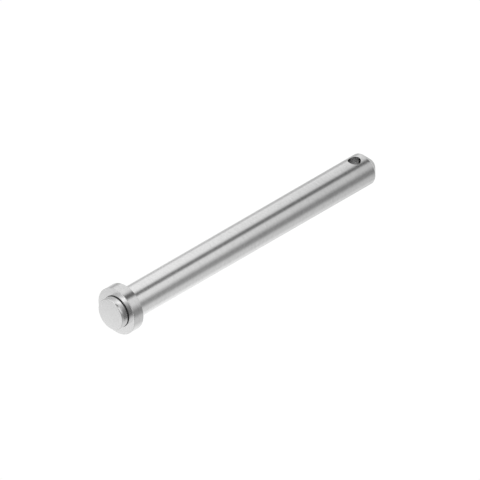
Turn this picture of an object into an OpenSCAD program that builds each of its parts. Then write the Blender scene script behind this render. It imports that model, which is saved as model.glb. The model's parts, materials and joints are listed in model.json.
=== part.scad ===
// Straight hitch pin with a loose head collar, held on the bar between two wire snap rings.
// The axis of the pin is X, the tip points to +X and the cross hole is along Z.
// The origin is on the axis, in the plane of the collar's back face, which seats on the hitch.

/* [Shank] */
// Diameter of the bar
shank_d = 16; // [12:0.5:25]
// Distance from the collar's seat face to the flat end of the tip
reach = 163.6; // [60:1:300]
// How far the bar stands out in front of the collar
head_proud = 4.1; // [3:0.1:10]
// Chamfer round the head end of the bar
head_chamfer = 0.3; // [0.2:0.1:1.5]

/* [Tip] */
// Length of the tapered lead-in
tip_length = 4.8; // [2:0.1:6]
// Diameter of the flat end of the tip
tip_flat_d = 6.2; // [2:0.1:10]

/* [Cross hole] */
// Diameter of the hole for a hitch clip or a padlock shackle
hole_d = 6.2; // [3:0.05:7]
// Distance from the hole's axis to the flat end of the tip
hole_to_tip = 10.9; // [9:0.1:40]
// Width and depth of the countersink at the top of each mouth of the hole
hole_countersink = 0.3; // [0.1:0.05:0.8]

/* [Collar] */
// Outside diameter of the collar
collar_d = 24.1; // [22:0.1:45]
// Thickness of the collar
collar_w = 6.1; // [4:0.1:12]
// Broken edge on the rim of the collar's front face
collar_edge = 0.3; // [0.1:0.05:0.8]
// Broken edge on the rim of the collar's seat face
seat_edge = 0.25; // [0.1:0.05:0.8]
// Radial clearance between the collar's bore and the bar
collar_clearance = 0.05; // [0.02:0.01:0.1]
// Depth of the counterbore for the rear ring, from the seat face
counterbore_depth = 1.2; // [1:0.1:2]
// Radial room between the rear ring and the counterbore's wall
counterbore_room = 0.75; // [0.25:0.05:1]

/* [Snap rings] */
// Diameter of the spring wire
wire_d = 0.5; // [0.4:0.1:1]
// How far the wire stands out of the bar's surface
wire_proud = 0.15; // [0.1:0.05:0.3]
// Gap between a ring's ends, as an angle
ring_gap = 24; // [10:1:60]
// Clearance between the wire and its groove, and between the wire and the collar
wire_clearance = 0.05; // [0.02:0.01:0.1]

/* [Hidden] */

$fn = 96;

// Extra length on cutting shapes, so that no cut ends exactly on a face
past = 1;

shank_r = shank_d / 2;
collar_r = collar_d / 2;
wire_r = wire_d / 2;
groove_r = wire_r + wire_clearance;
collar_front_x = -collar_w;
head_face_x = collar_front_x - head_proud;
taper_start_x = reach - tip_length;
hole_x = reach - hole_to_tip;
front_ring_x = collar_front_x - wire_clearance - wire_r;
rear_ring_x = -counterbore_depth + wire_clearance + wire_r;
ring_r = shank_r + wire_proud - wire_r;
counterbore_r = shank_r + wire_proud + counterbore_room;
bore_r = shank_r + collar_clearance;

// Stands a shape that was turned about Z along the pin's axis, with its Z on +X
module along_pin() {
    rotate([0, 90, 0]) children();
}

// The bar's half outline: radius across, distance along the pin up
module bar_outline() {
    polygon([
        [0, head_face_x],
        [shank_r - head_chamfer, head_face_x],
        [shank_r, head_face_x + head_chamfer],
        [shank_r, taper_start_x],
        [tip_flat_d / 2, reach],
        [0, reach]
    ]);
}

// A round-bottomed groove for a wire ring, at distance x along the pin
module ring_groove(x) {
    rotate_extrude() translate([ring_r, x]) circle(r = groove_r, $fn = 32);
}

// The cross hole and the small countersink at each of its two mouths
module cross_hole() {
    hole_r = hole_d / 2;
    translate([hole_x, 0, 0]) {
        cylinder(h = shank_d + 2 * past, r = hole_r, center = true);
        for (turn = [0, 180]) {
            rotate([turn, 0, 0]) translate([0, 0, shank_r - hole_countersink])
                cylinder(h = past, r1 = hole_r, r2 = hole_r + past);
        }
    }
}

// The whole turned bar: head end, shank, taper, cross hole and the two ring grooves
module pin_shank() {
    color("silver") difference() {
        along_pin() difference() {
            rotate_extrude() bar_outline();
            ring_groove(front_ring_x);
            ring_groove(rear_ring_x);
        }
        cross_hole();
    }
}

// The collar's half outline, from its front face to the seat face
module collar_outline() {
    polygon([
        [bore_r, collar_front_x],
        [collar_r - collar_edge, collar_front_x],
        [collar_r, collar_front_x + collar_edge],
        [collar_r, -seat_edge],
        [collar_r - seat_edge, 0],
        [counterbore_r, 0],
        [counterbore_r, -counterbore_depth],
        [bore_r, -counterbore_depth]
    ]);
}

// The loose head: it turns on the bar and seats on the hitch with its back face
module head_collar() {
    color("silver") along_pin() rotate_extrude() collar_outline();
}

// A split ring of round wire at distance x along the pin, its gap at the bottom
module snap_ring(x) {
    color("#202224") along_pin() rotate([0, 0, ring_gap / 2])
        rotate_extrude(angle = 360 - ring_gap) translate([ring_r, x]) circle(r = wire_r, $fn = 32);
}

// The ring in sight, in front of the collar
module front_snap_ring() {
    snap_ring(front_ring_x);
}

// The ring in the counterbore, behind the collar
module rear_snap_ring() {
    snap_ring(rear_ring_x);
}

pin_shank();
head_collar();
front_snap_ring();
rear_snap_ring();
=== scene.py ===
import json
import math

import bmesh
import bpy
from mathutils import Matrix, Vector


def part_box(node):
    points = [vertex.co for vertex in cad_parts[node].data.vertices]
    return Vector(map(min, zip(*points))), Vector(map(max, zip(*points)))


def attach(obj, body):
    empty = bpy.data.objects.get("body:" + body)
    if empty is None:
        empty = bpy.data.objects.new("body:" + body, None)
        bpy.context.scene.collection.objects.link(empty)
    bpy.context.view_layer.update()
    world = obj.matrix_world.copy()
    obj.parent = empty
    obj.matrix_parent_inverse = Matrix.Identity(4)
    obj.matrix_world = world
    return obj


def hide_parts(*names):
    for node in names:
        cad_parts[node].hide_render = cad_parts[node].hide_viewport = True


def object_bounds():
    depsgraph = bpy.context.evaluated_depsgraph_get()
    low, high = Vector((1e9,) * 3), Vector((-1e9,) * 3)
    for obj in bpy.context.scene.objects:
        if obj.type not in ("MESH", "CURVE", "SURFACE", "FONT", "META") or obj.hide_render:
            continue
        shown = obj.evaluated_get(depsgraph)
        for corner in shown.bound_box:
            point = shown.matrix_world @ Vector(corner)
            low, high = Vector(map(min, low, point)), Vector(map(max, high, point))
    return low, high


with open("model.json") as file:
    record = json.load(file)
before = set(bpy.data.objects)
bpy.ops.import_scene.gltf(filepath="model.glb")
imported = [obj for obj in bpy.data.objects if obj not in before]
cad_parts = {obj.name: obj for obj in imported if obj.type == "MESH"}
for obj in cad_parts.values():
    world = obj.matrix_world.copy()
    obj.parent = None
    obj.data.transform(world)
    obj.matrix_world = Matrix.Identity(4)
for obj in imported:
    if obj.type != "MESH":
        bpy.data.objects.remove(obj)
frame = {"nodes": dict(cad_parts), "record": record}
cadLow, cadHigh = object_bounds()
mm = 0.001
print("frame loaded:", ", ".join(sorted(frame["nodes"])))


def mount(name):
    return next(m for m in frame["record"]["mounts"] if m["name"] == name)


shankLow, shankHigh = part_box("pin_shank")
collarLow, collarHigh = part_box("head_collar")
frontRingLow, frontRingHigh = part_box("front_snap_ring")
rearRingLow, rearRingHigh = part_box("rear_snap_ring")

headFace, reach = shankLow.x, shankHigh.x
shankRadius = mount("shank")["dims"]["r_mm"] * mm
holeRadius = mount("clip_hole")["dims"]["r_mm"] * mm
holeAlong = mount("clip_hole")["pos_m"][0]
collarRadius = collarHigh.z
wireRadius = (frontRingHigh.x - frontRingLow.x) / 2
wireCentre = frontRingHigh.z - wireRadius      # how far out from the pin's axis the wire runs
frontRingAlong = (frontRingHigh.x + frontRingLow.x) / 2
rearRingAlong = (rearRingHigh.x + rearRingLow.x) / 2
weld = 0.001 * mm      # points closer than this are one point


def arc(centre, radius, start, end, steps):
    # points (along, out) on an arc, with the angles in degrees from the +along direction
    turn = [math.radians(start + (end - start) * i / steps) for i in range(steps + 1)]
    return [(centre[0] + radius * math.cos(t), centre[1] + radius * math.sin(t)) for t in turn]


def turned(outline, steps, closed=False):
    # an outline of (along, out) points, spun once about the pin's axis
    bm = bmesh.new()
    verts = [bm.verts.new((along, 0, out)) for along, out in outline]
    pairs = list(zip(verts, verts[1:]))
    if closed:
        pairs.append((verts[-1], verts[0]))
    edges = [bm.edges.new(pair) for pair in pairs]
    bmesh.ops.spin(
        bm, geom=verts + edges, cent=(0, 0, 0), axis=(1, 0, 0), dvec=(0, 0, 0),
        angle=math.tau, steps=steps, use_merge=True,
    )
    bmesh.ops.remove_doubles(bm, verts=bm.verts, dist=weld)
    bmesh.ops.recalc_face_normals(bm, faces=bm.faces)
    return bm


def ringEdges(bm, along, out):
    # the circle of edges that one corner of the outline left behind
    near = 2 * weld

    def onRing(v):
        return abs(v.co.x - along) < near and abs(math.hypot(v.co.y, v.co.z) - out) < near
    return [e for e in bm.edges if onRing(e.verts[0]) and onRing(e.verts[1])]


def breakEdges(bm, edges, size, segments):
    bmesh.ops.bevel(
        bm, geom=edges, offset=size, offset_type="OFFSET", affect="EDGES",
        segments=segments, profile=0.5, material=-1, clamp_overlap=True,
    )


def finished(bm, name):
    mesh = bpy.data.meshes.new(name)
    bm.to_mesh(mesh)
    bm.free()
    for face in mesh.polygons:
        face.use_smooth = True
    piece = bpy.data.objects.new(name, mesh)
    bpy.context.scene.collection.objects.link(piece)
    return piece


def sharpen(piece, degrees=5):
    # edges steeper than this stay crisp, so that a flat face is lit as flat right up to its rim
    piece.data.set_sharp_from_angle(angle=math.radians(degrees))


bar = dict(
    headChamfer=0.2 * mm,
    wireClearance=0.05 * mm,
    tipLength=4.8 * mm,
    tipFlatRadius=3.1 * mm,
    headBreak=0.05 * mm,      # rounding of the corners of the head end
    taperBreak=0.4 * mm,      # rounding where the shank runs into the taper
    tipBreak=0.3 * mm,        # rounding round the flat of the tip
    holeBreak=0.3 * mm,       # rounding at the mouths of the cross hole
    fineSteps=3,              # faces across the rounding of the head end's corners
    breakSteps=4,             # faces across the other roundings
    grooveSteps=12,
    stations=24,              # rows of faces round the cross hole, so that its cut lands in small faces
    stationSpread=2,          # how far those rows reach from the hole's axis, in hole radii
    turns=192,
    holeSides=96,
    drillLength=3,            # in shank radii, enough to pass right through
    wallUpright=0.2,          # a face of the hole's wall has less than this of its normal along Z
    wallNear=0.02 * mm,       # and its corners are this close to the hole's radius
)


def barOutline():
    grooveRadius = wireRadius + bar["wireClearance"]
    # the groove's circle meets the bar's surface at this angle from the straight-out direction
    lip = math.degrees(math.acos((shankRadius - wireCentre) / grooveRadius))
    outline = [(headFace, 0), (headFace, shankRadius - bar["headChamfer"])]
    outline.append((headFace + bar["headChamfer"], shankRadius))
    for along in (frontRingAlong, rearRingAlong):
        outline += arc((along, wireCentre), grooveRadius, 90 + lip, 450 - lip, bar["grooveSteps"])
    spread = bar["stationSpread"] * holeRadius
    for i in range(bar["stations"] + 1):
        along = holeAlong + spread * (2 * i / bar["stations"] - 1)
        if along < reach - bar["tipLength"] - 2 * bar["taperBreak"]:
            outline.append((along, shankRadius))
    outline.append((reach - bar["tipLength"], shankRadius))
    outline += [(reach, bar["tipFlatRadius"]), (reach, 0)]
    return outline


def cutHole(piece):
    bm = bmesh.new()
    bmesh.ops.create_cone(
        bm, cap_ends=True, segments=bar["holeSides"], radius1=holeRadius, radius2=holeRadius,
        depth=bar["drillLength"] * shankRadius,
    )
    bmesh.ops.translate(bm, verts=bm.verts, vec=(holeAlong, 0, 0))
    drill = finished(bm, "drill")
    cut = piece.modifiers.new("crossHole", "BOOLEAN")
    cut.operation = "DIFFERENCE"
    cut.solver = "EXACT"
    cut.object = drill
    bpy.context.view_layer.update()
    drilled = piece.evaluated_get(bpy.context.evaluated_depsgraph_get())
    mesh = bpy.data.meshes.new_from_object(drilled)
    piece.modifiers.clear()
    piece.data = mesh
    bpy.data.objects.remove(drill)


def breakHoleMouths(piece):
    bm = bmesh.new()
    bm.from_mesh(piece.data)

    def atRadius(v):
        return abs(math.hypot(v.co.x - holeAlong, v.co.y) - holeRadius) < bar["wallNear"]

    def inWall(face):
        return abs(face.normal.z) < bar["wallUpright"] and all(atRadius(v) for v in face.verts)

    walls = {f for f in bm.faces if inWall(f)}
    rim = [e for e in bm.edges if len(e.link_faces) == 2 and len(walls & set(e.link_faces)) == 1]
    breakEdges(bm, rim, bar["holeBreak"], bar["breakSteps"])
    print("hole mouths broken:", len(rim), "rim edges,", len(walls), "wall faces")
    bm.to_mesh(piece.data)
    bm.free()


def makeBar():
    bm = turned(barOutline(), bar["turns"])
    chamferIn, chamferOut = shankRadius - bar["headChamfer"], headFace + bar["headChamfer"]
    corners = [
        (headFace, chamferIn, bar["headBreak"], bar["fineSteps"]),
        (chamferOut, shankRadius, bar["headBreak"], bar["fineSteps"]),
        (reach - bar["tipLength"], shankRadius, bar["taperBreak"], bar["breakSteps"]),
        (reach, bar["tipFlatRadius"], bar["tipBreak"], bar["breakSteps"]),
    ]
    for along, out, size, steps in corners:
        breakEdges(bm, ringEdges(bm, along, out), size, steps)
    piece = finished(bm, "pinShank")
    cutHole(piece)
    breakHoleMouths(piece)
    for face in piece.data.polygons:
        face.use_smooth = True
    sharpen(piece)
    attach(piece, "pin")
    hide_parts("pin_shank")
    return piece


collar = dict(
    frontBreak=0.15 * mm,     # rounding of the front rim
    seatBreak=0.25 * mm,      # rounding of the rim that seats on the hitch
    boreBreak=0.12 * mm,      # rounding at both ends of the bore
    clearance=0.05 * mm,      # between the bore and the bar
    counterboreRoom=0.9 * mm,     # from the bar's surface out to the counterbore's wall
    counterboreDepth=1.2 * mm,
    rimSteps=4,
    boreSteps=3,
    turns=192,
)


def makeCollar():
    front, seat = collarLow.x, collarHigh.x
    bore, sink = shankRadius + collar["clearance"], shankRadius + collar["counterboreRoom"]
    floor = seat - collar["counterboreDepth"]
    outline = [
        (front, bore), (front, collarRadius), (seat, collarRadius),
        (seat, sink), (floor, sink), (floor, bore),
    ]
    bm = turned(outline, collar["turns"], closed=True)
    corners = [
        (front, collarRadius, collar["frontBreak"], collar["rimSteps"]),
        (seat, collarRadius, collar["seatBreak"], collar["rimSteps"]),
        (seat, sink, collar["boreBreak"], collar["boreSteps"]),
        (front, bore, collar["boreBreak"], collar["boreSteps"]),
    ]
    for along, out, size, steps in corners:
        breakEdges(bm, ringEdges(bm, along, out), size, steps)
    piece = finished(bm, "headCollar")
    sharpen(piece)
    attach(piece, "collar")
    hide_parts("head_collar")
    return piece


ring = dict(
    gapDegrees=24,
    wireSides=24,
    turns=180,
    endBreak=0.1 * mm,        # rounding of the wire's cut ends
    endSteps=3,
    sharpFrom=30,             # degrees between faces
)


def makeRing(name, along, node):
    bm = bmesh.new()
    bmesh.ops.create_circle(bm, cap_ends=True, segments=ring["wireSides"], radius=wireRadius)
    bmesh.ops.translate(bm, verts=bm.verts, vec=(0, -wireCentre, 0))
    # the wire's section lies in X and Y, and the turn starts beside the gap at the bottom
    half = math.radians(ring["gapDegrees"] / 2)
    toGap = Matrix.Rotation(math.pi / 2 + half, 3, "X")
    bmesh.ops.rotate(bm, verts=bm.verts, cent=(0, 0, 0), matrix=toGap)
    bmesh.ops.spin(
        bm, geom=bm.faces[:], cent=(0, 0, 0), axis=(1, 0, 0), dvec=(0, 0, 0),
        angle=math.tau - 2 * half, steps=ring["turns"], use_merge=False,
    )
    bmesh.ops.remove_doubles(bm, verts=bm.verts, dist=weld)
    bmesh.ops.recalc_face_normals(bm, faces=bm.faces)
    bmesh.ops.translate(bm, verts=bm.verts, vec=(along, 0, 0))
    ends = [e for f in bm.faces if len(f.verts) == ring["wireSides"] for e in f.edges]
    breakEdges(bm, ends, ring["endBreak"], ring["endSteps"])
    piece = finished(bm, name)
    sharpen(piece, ring["sharpFrom"])
    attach(piece, "pin")
    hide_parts(node)
    return piece


class Signal:
    # an output socket that reads as a number in ordinary expressions
    def __init__(self, finish, socket):
        self.finish, self.socket = finish, socket

    def maths(self, operation, *values):
        return self.finish.node("ShaderNodeMath", dict(operation=operation), values)

    def sibling(self, name):
        # another output of the same node
        return Signal(self.finish, self.socket.node.outputs[name])

    def __add__(self, other):
        return self.maths("ADD", self, other)

    def __sub__(self, other):
        return self.maths("SUBTRACT", self, other)

    def __rsub__(self, other):
        return self.maths("SUBTRACT", other, self)

    def __mul__(self, other):
        return self.maths("MULTIPLY", self, other)

    def __truediv__(self, other):
        return self.maths("DIVIDE", self, other)

    def __lt__(self, other):
        return self.maths("LESS_THAN", self, other)

    def __gt__(self, other):
        return self.maths("GREATER_THAN", self, other)

    __radd__ = __add__
    __rmul__ = __mul__


class Finish:
    def __init__(self, name):
        self.material = bpy.data.materials.new(name)
        self.material.use_nodes = True
        self.tree = self.material.node_tree
        self.tree.nodes.clear()

    def node(self, kind, settings=None, values=None, output=0):
        made = self.tree.nodes.new(kind)
        for key, value in (settings or {}).items():
            if key == "stops":
                self.setStops(made.color_ramp.elements, value)
            else:
                setattr(made, key, value)
        given = values.items() if isinstance(values, dict) else enumerate(values or ())
        for key, value in given:
            if isinstance(value, Signal):
                self.tree.links.new(value.socket, made.inputs[key])
            else:
                made.inputs[key].default_value = value
        return Signal(self, made.outputs[output]) if made.outputs else None

    def setStops(self, elements, stops):
        # a new ramp has two elements, which take the first stop and the last
        elements[0].position, elements[1].position = stops[0][0], stops[-1][0]
        for spot, level in stops[1:-1]:
            elements.new(spot)
        for element, (spot, level) in zip(elements, stops):
            element.color = (level, level, level, 1)

    def noise(self, vector, scale, detail, roughness=0.55, w=None):
        settings = dict(noise_dimensions="3D" if w is None else "4D")
        values = {"Vector": vector, "Scale": scale, "Detail": detail, "Roughness": roughness}
        if w is not None:
            values["W"] = w
        return self.node("ShaderNodeTexNoise", settings, values)

    def grey(self, level):
        return self.node("ShaderNodeCombineColor", None, [level, level, level])

    def output(self, shader):
        self.node("ShaderNodeOutputMaterial", None, {"Surface": shader})
        return self.material


middleGrey = 0.5      # the middle of what a noise gives

steel = dict(
    lines=1800,               # turning lines to the metre
    fineLines=5200,           # the finer set between them
    round=500,                # how fast a line changes on its way round, to the metre
    lineDetail=3.0,
    lineBite=0.6,             # how sharply one line differs from the next
    fineShare=0.6,            # how much the finer set counts beside the first
    lineShade=0.26,           # how much the lines lighten and darken the steel
    lineGloss=0.08,           # how much they change its gloss
    lineDepth=0.005 * mm,
    lineBump=0.6,
    mottle=60.0,              # clouds in the finish to the metre
    mottleDetail=4.0,
    mottleShade=0.06,
    mottleGloss=0.06,
    paintedFaceShadeDrift=4.5,            # painted shade: how much a faced end darkens upwards, to the metre, standing in for less light towards its top
    faceDepth=0.03 * mm,      # a point this close to the end's plane is on the faced end
    faceGrain=0.5,            # how much of the lines' shade a faced end keeps
    corner=0.2 * mm,          # width of the dull cut round the rim of a faced end, which is also painted darker as shade that dims its highlight
    holeSkin=0.05 * mm,       # a point this close to the hole's wall is on the drilled wall, which is painted darker as shade in the recess
)

# how bright each kind of cut is, and how dull; the faced end's darker level, with its upward darkening, is
# painted shade, and so are the darker levels of the rim round it and of the hole's wall
shankSteel = dict(
    ground=0.75, paintedFaceShade=0.63, corner=0.50, drilled=0.58,
    roughness=0.22, cornerRoughness=0.5, drilledRoughness=0.12,
)
collarSteel = dict(ground=0.64, paintedFaceShade=0.63, corner=0.52, roughness=0.18, cornerRoughness=0.5)


def turnedSteel(name, look, headEnd, cornerRadius, drilledHole=None):
    f = Finish(name)
    place = f.node("ShaderNodeTexCoord", output="Object")
    along = f.node("ShaderNodeSeparateXYZ", None, [place])
    across, up = along.sibling("Y"), along.sibling("Z")
    out = along.maths("SQRT", across * across + up * up)

    def lines(count):
        # rings round the axis on a side, and circles about the centre on a face
        spot = f.node("ShaderNodeCombineXYZ", None, [along * count, out * count, across * steel["round"]])
        return f.noise(spot, 1.0, steel["lineDetail"], steel["lineBite"], w=up * steel["round"]) - middleGrey

    coarse, fine = lines(steel["lines"]), lines(steel["fineLines"])
    mottle = f.noise(place, steel["mottle"], steel["mottleDetail"]) - middleGrey
    onFace = along < headEnd + steel["faceDepth"]
    onCorner = (along < headEnd + steel["corner"]) * (out > cornerRadius - steel["corner"])
    # the faced end takes a darker level that darkens further upwards: painted shade
    base = look["ground"] + onFace * (look["paintedFaceShade"] - look["ground"] - up * steel["paintedFaceShadeDrift"])
    # the cut rim round a faced end is painted darker, a painted shade that dims its highlight; its extra
    # roughness is the cut's own
    base = base + onCorner * (1 - onFace) * (look["corner"] - look["ground"])
    rough = look["roughness"] + coarse * steel["lineGloss"] + mottle * steel["mottleGloss"]
    rough = rough + onCorner * (look["cornerRoughness"] - look["roughness"])
    if drilledHole:
        centre, radius = drilledHole
        fromHole = (along - centre) * (along - centre) + across * across
        inHole = fromHole < (radius + steel["holeSkin"]) ** 2
        # the hole's wall is painted darker, a painted shade for the recess; its gloss on the next line is
        # the drill's own
        base = base + inHole * (look["drilled"] - look["ground"])
        rough = rough + inHole * (look["drilledRoughness"] - look["roughness"])
    grain = (coarse + steel["fineShare"] * fine) * steel["lineShade"] + mottle * steel["mottleShade"]
    shade = base + grain * (1 - (1 - steel["faceGrain"]) * onFace)
    bump = f.node(
        "ShaderNodeBump", None,
        {"Strength": steel["lineBump"], "Distance": steel["lineDepth"], "Height": coarse + fine},
    )
    shader = f.node(
        "ShaderNodeBsdfPrincipled", None,
        {"Base Color": f.grey(shade), "Metallic": 1.0, "Roughness": rough, "Normal": bump},
    )
    return f.output(shader)


wire = dict(
    shade=0.012,
    mottleShade=0.012,
    roughness=0.45,
    mottleGloss=0.15,
    mottle=900.0,             # specks in the oxide to the metre
    mottleDetail=4.0,
    speckBump=0.4,
    speckDepth=0.01 * mm,
)


def blackWire(name):
    f = Finish(name)
    place = f.node("ShaderNodeTexCoord", output="Object")
    mottle = f.noise(place, wire["mottle"], wire["mottleDetail"])
    bump = f.node(
        "ShaderNodeBump", None,
        {"Strength": wire["speckBump"], "Distance": wire["speckDepth"], "Height": mottle},
    )
    shade = f.grey(wire["shade"] + mottle * wire["mottleShade"])
    rough = wire["roughness"] + mottle * wire["mottleGloss"]
    shader = f.node(
        "ShaderNodeBsdfPrincipled", None,
        {"Base Color": shade, "Metallic": 0.0, "Roughness": rough, "Normal": bump},
    )
    return f.output(shader)


def paint(piece, material):
    piece.data.materials.clear()
    piece.data.materials.append(material)


tent = dict(
    radius=0.5,
    length=3.0,
    sides=180,
    # what the tent gives by its angle up from the side the camera stands on: behind the head,
    # and abreast of the two ends of the stretch that the shank mirrors
    behindHead=[
        (-180, 0.90), (-150, 1.04), (-100, 1.10), (-80, 1.25), (-60, 1.14), (-45, 0.84), (-33, 0.42),
        (-24, 0.28), (5, 0.28), (16, 0.30), (27, 0.38), (39, 0.58), (51, 0.82), (63, 1.12), (75, 1.70),
        (86, 2.25), (97, 2.15), (111, 1.50), (123, 1.20), (135, 1.10), (160, 1.00), (180, 0.90),
    ],
    nearTip=[
        (-180, 0.60), (-166, 0.88), (-150, 1.00), (-95, 1.06), (-78, 1.00), (-62, 0.79), (-46, 0.81),
        (-30, 0.74), (-15, 0.39), (5, 0.335), (20, 0.66), (32, 0.95), (48, 1.01), (59, 1.05), (70, 0.19),
        (83, 0.18), (96, 0.95), (108, 1.07), (125, 1.07), (155, 1.04), (171, 0.60), (180, 0.60),
    ],
    farTip=[
        (-180, 0.50), (-166, 0.64), (-150, 0.54), (-115, 0.54), (-95, 0.80), (-78, 0.72), (-62, 0.60),
        (-46, 0.61), (-30, 0.51), (-15, 0.27), (5, 0.215), (20, 0.39), (32, 0.53), (48, 0.53), (59, 0.50),
        (70, 0.12), (83, 0.12), (96, 0.62), (108, 0.68), (125, 0.74), (155, 0.88), (171, 0.50), (180, 0.50),
    ],
    # metres along the tent over which one pattern gives way to the next
    headToNear=(-0.12, 0.12),
    nearToFar=(0.37, 0.52),
)


def tentMaterial():
    f = Finish("tentCloth")
    place = f.node("ShaderNodeTexCoord", output="Object")
    along = f.node("ShaderNodeSeparateXYZ", None, [place])
    side, up = along.sibling("Y"), along.sibling("Z")
    # the angle as a share of a full turn, with the camera's side in the middle
    turn = up.maths("ARCTAN2", up, 0 - side) / math.tau + 0.5

    def pattern(levels):
        stops = [(degrees / 360 + 0.5, level) for degrees, level in levels]
        return f.node("ShaderNodeValToRGB", dict(stops=stops), [turn])

    head, near, far = pattern(tent["behindHead"]), pattern(tent["nearTip"]), pattern(tent["farTip"])

    def blend(span, first, second):
        share = f.node(
            "ShaderNodeMapRange", None, {"Value": along, "From Min": span[0], "From Max": span[1]})
        return f.node("ShaderNodeMix", dict(data_type="RGBA"), {0: share, 6: first, 7: second}, 2)

    glow = blend(tent["headToNear"], head, blend(tent["nearToFar"], near, far))
    return f.output(f.node("ShaderNodeEmission", None, {"Color": glow, "Strength": 1.0}))


def makeTent(centre):
    bm = bmesh.new()
    bmesh.ops.create_cone(
        bm, cap_ends=False, segments=tent["sides"], radius1=tent["radius"], radius2=tent["radius"],
        depth=tent["length"],
    )
    lengthwise = Matrix.Rotation(math.pi / 2, 3, "Y")
    bmesh.ops.rotate(bm, verts=bm.verts, cent=(0, 0, 0), matrix=lengthwise)
    bmesh.ops.translate(bm, verts=bm.verts, vec=centre)
    piece = finished(bm, "lightTent")
    piece.visible_camera = False
    piece.visible_shadow = False
    paint(piece, tentMaterial())


paper = dict(size=20, drop=0.35, glow=1.02)      # metres, and metres below the pin's axis


def makeFloor(centre):
    bm = bmesh.new()
    bmesh.ops.create_grid(bm, x_segments=1, y_segments=1, size=paper["size"])
    bmesh.ops.translate(bm, verts=bm.verts, vec=(centre.x, centre.y, -paper["drop"]))
    piece = finished(bm, "floor")
    piece.visible_glossy = False
    piece.visible_diffuse = False
    piece.visible_shadow = False
    f = Finish("palePaper")
    glow = f.node("ShaderNodeEmission", None, {"Color": (1, 1, 1, 1), "Strength": paper["glow"]})
    paint(piece, f.output(glow))


# the camera aims this much nearer the head than the middle of the pin
stand = dict(width=226.63 * mm, distance=0.6, towardsHead=0.3 * mm, farthest=50)


def makeCamera(centre):
    data = bpy.data.cameras.new("camera")
    data.type = "ORTHO"
    data.ortho_scale = stand["width"]
    data.clip_end = stand["farthest"]
    camera = bpy.data.objects.new("camera", data)
    towards = Vector((-1, -1, 1)).normalized()
    camera.location = centre + towards * stand["distance"] - Vector((stand["towardsHead"], 0, 0))
    camera.rotation_mode = "QUATERNION"
    camera.rotation_quaternion = (-towards).to_track_quat("-Z", "Y")
    bpy.context.scene.collection.objects.link(camera)
    bpy.context.scene.camera = camera


def makeWorld():
    world = bpy.data.worlds.new("studio")
    bpy.context.scene.world = world
    world.use_nodes = True
    background = world.node_tree.nodes["Background"]
    background.inputs["Color"].default_value = (1, 1, 1, 1)
    background.inputs["Strength"].default_value = 1.0


barFinish = turnedSteel("turnedBarSteel", shankSteel, headFace, shankRadius, (holeAlong, holeRadius))
collarFinish = turnedSteel("turnedCollarSteel", collarSteel, collarLow.x, collarRadius)
wireFinish = blackWire("blackOxideWire")
print("finishes mixed")

paint(makeBar(), barFinish)
print("bar turned")
paint(makeCollar(), collarFinish)
print("collar turned")
paint(makeRing("frontSnapRing", frontRingAlong, "front_snap_ring"), wireFinish)
paint(makeRing("rearSnapRing", rearRingAlong, "rear_snap_ring"), wireFinish)
print("rings bent")

middle = (cadLow + cadHigh) / 2
makeWorld()
makeTent(middle)
makeFloor(middle)
makeCamera(middle)
bpy.context.scene.view_settings.view_transform = "Standard"
print("studio set")
